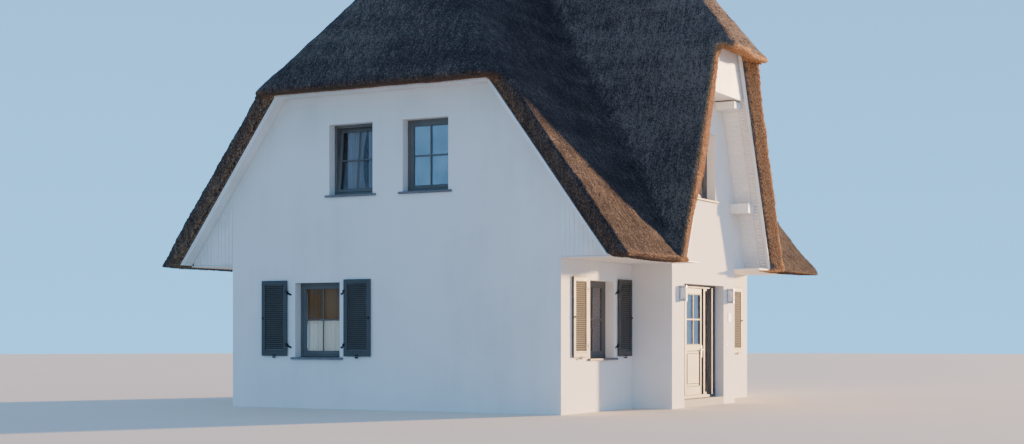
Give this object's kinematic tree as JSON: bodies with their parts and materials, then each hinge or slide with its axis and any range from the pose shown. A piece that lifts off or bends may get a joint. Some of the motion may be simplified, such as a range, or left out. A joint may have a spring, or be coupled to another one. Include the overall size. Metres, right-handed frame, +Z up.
{
  "type": "thatched cottage",
  "caption": "White-rendered one-and-a-half-storey cottage with a half-hipped reed thatch roof, a steep thatched cross gable over the entrance and slate shutters",
  "frame": {"origin": "middle of the house plan on the underside of the ground floor", "axes": "+X towards the entrance side, +Y from the front gable to the rear gable, +Z up"},
  "size_m": [10.4873, 11.1, 9.73],
  "materials": {
    "wall_render": "fine white mineral render, painted, matt",
    "floor_concrete": "plain concrete slab",
    "reed_thatch": "weathered grey-brown water reed, fresh orange-brown where cut",
    "ridge_thatch": "darker ridge layer of heather and reed",
    "white_boards": "white painted tongue-and-groove boards",
    "slate_frame_paint": "slate grey satin paint",
    "slate_shutter_paint": "slate grey satin paint on louvred shutters",
    "pane_glass": "clear window glass",
    "lamp_metal": "pale grey lamp housing",
    "black_iron": "black hinges, knobs and holdbacks",
    "stone_sill": "grey-taupe window sills"
  },
  "bodies": {
    "house": {"front_wall": "wall_render", "rear_wall": "wall_render", "left_wall": "wall_render", "right_wall_front": "wall_render", "right_wall_rear": "wall_render", "bay_corner_front": "wall_render", "bay_corner_rear": "wall_render", "bay_gable_wall": "wall_render", "ground_floor": "floor_concrete", "upper_floor": "floor_concrete", "thatch_left_slope": "reed_thatch", "thatch_right_front": "reed_thatch", "thatch_right_rear": "reed_thatch", "thatch_hip_front": "reed_thatch", "thatch_hip_rear": "reed_thatch", "thatch_bay_front": "reed_thatch", "thatch_bay_rear": "reed_thatch", "thatch_bay_hip": "reed_thatch", "ridge_cap": "ridge_thatch", "verge_front_right": "white_boards", "verge_front_left": "white_boards", "verge_rear_right": "white_boards", "verge_rear_left": "white_boards", "hip_soffit_front": "white_boards", "hip_soffit_rear": "white_boards", "bay_verge_rear": "white_boards", "bay_verge_front": "white_boards", "bay_gable_panel": "white_boards", "eave_soffit_left": "white_boards", "eave_soffit_right_front": "white_boards", "eave_soffit_right_rear": "white_boards", "front_window_ground": "slate_frame_paint", "front_window_ground_glass": "pane_glass", "front_window_upper_left": "slate_frame_paint", "front_window_upper_left_glass": "pane_glass", "front_window_upper_right": "slate_frame_paint", "front_window_upper_right_glass": "pane_glass", "right_window_front": "slate_frame_paint", "right_window_front_glass": "pane_glass", "right_window_rear": "slate_frame_paint", "right_window_rear_glass": "pane_glass", "bay_window": "slate_frame_paint", "bay_window_glass": "pane_glass", "rear_window_ground": "slate_frame_paint", "rear_window_upper_left": "slate_frame_paint", "rear_window_upper_right": "slate_frame_paint", "left_window_front": "slate_frame_paint", "left_window_rear": "slate_frame_paint", "door_frame": "slate_frame_paint", "wall_lamp_front": "lamp_metal", "wall_lamp_rear": "lamp_metal"},
    "entrance_door": {"door_leaf": "slate_frame_paint", "door_glass": "pane_glass"},
    "front_left_shutter": {"shutter_front_left": "slate_shutter_paint"},
    "front_right_shutter": {"shutter_front_right": "slate_shutter_paint"},
    "entry_a_shutter": {"shutter_entry_a": "slate_shutter_paint"},
    "entry_b_shutter": {"shutter_entry_b": "slate_shutter_paint"},
    "entry_c_shutter": {"shutter_entry_c": "slate_shutter_paint"},
    "entry_d_shutter": {"shutter_entry_d": "slate_shutter_paint"}
  },
  "joints": [
    {"name": "entrance_door_hinge", "type": "hinge", "parent": "house", "child": "entrance_door", "pos_m": [4.1483, -0.533, 0], "axis": [0, 0, 1], "range_deg": [0, 90]},
    {"name": "front_left_shutter_hinge", "type": "hinge", "parent": "house", "child": "front_left_shutter", "pos_m": [-2.255, -4.73, 0], "axis": [0, 0, 1], "range_deg": [0, 180]},
    {"name": "front_right_shutter_hinge", "type": "hinge", "parent": "house", "child": "front_right_shutter", "pos_m": [-0.975, -4.73, 0], "axis": [0, 0, -1], "range_deg": [0, 180]},
    {"name": "entry_a_shutter_hinge", "type": "hinge", "parent": "house", "child": "entry_a_shutter", "pos_m": [3.63, -3.665, 0], "axis": [0, 0, 1], "range_deg": [0, 180]},
    {"name": "entry_b_shutter_hinge", "type": "hinge", "parent": "house", "child": "entry_b_shutter", "pos_m": [3.63, -2.365, 0], "axis": [0, 0, -1], "range_deg": [0, 180]},
    {"name": "entry_c_shutter_hinge", "type": "hinge", "parent": "house", "child": "entry_c_shutter", "pos_m": [3.63, 2.365, 0], "axis": [0, 0, 1], "range_deg": [0, 180]},
    {"name": "entry_d_shutter_hinge", "type": "hinge", "parent": "house", "child": "entry_d_shutter", "pos_m": [3.63, 3.665, 0], "axis": [0, 0, -1], "range_deg": [0, 180]}
  ]
}
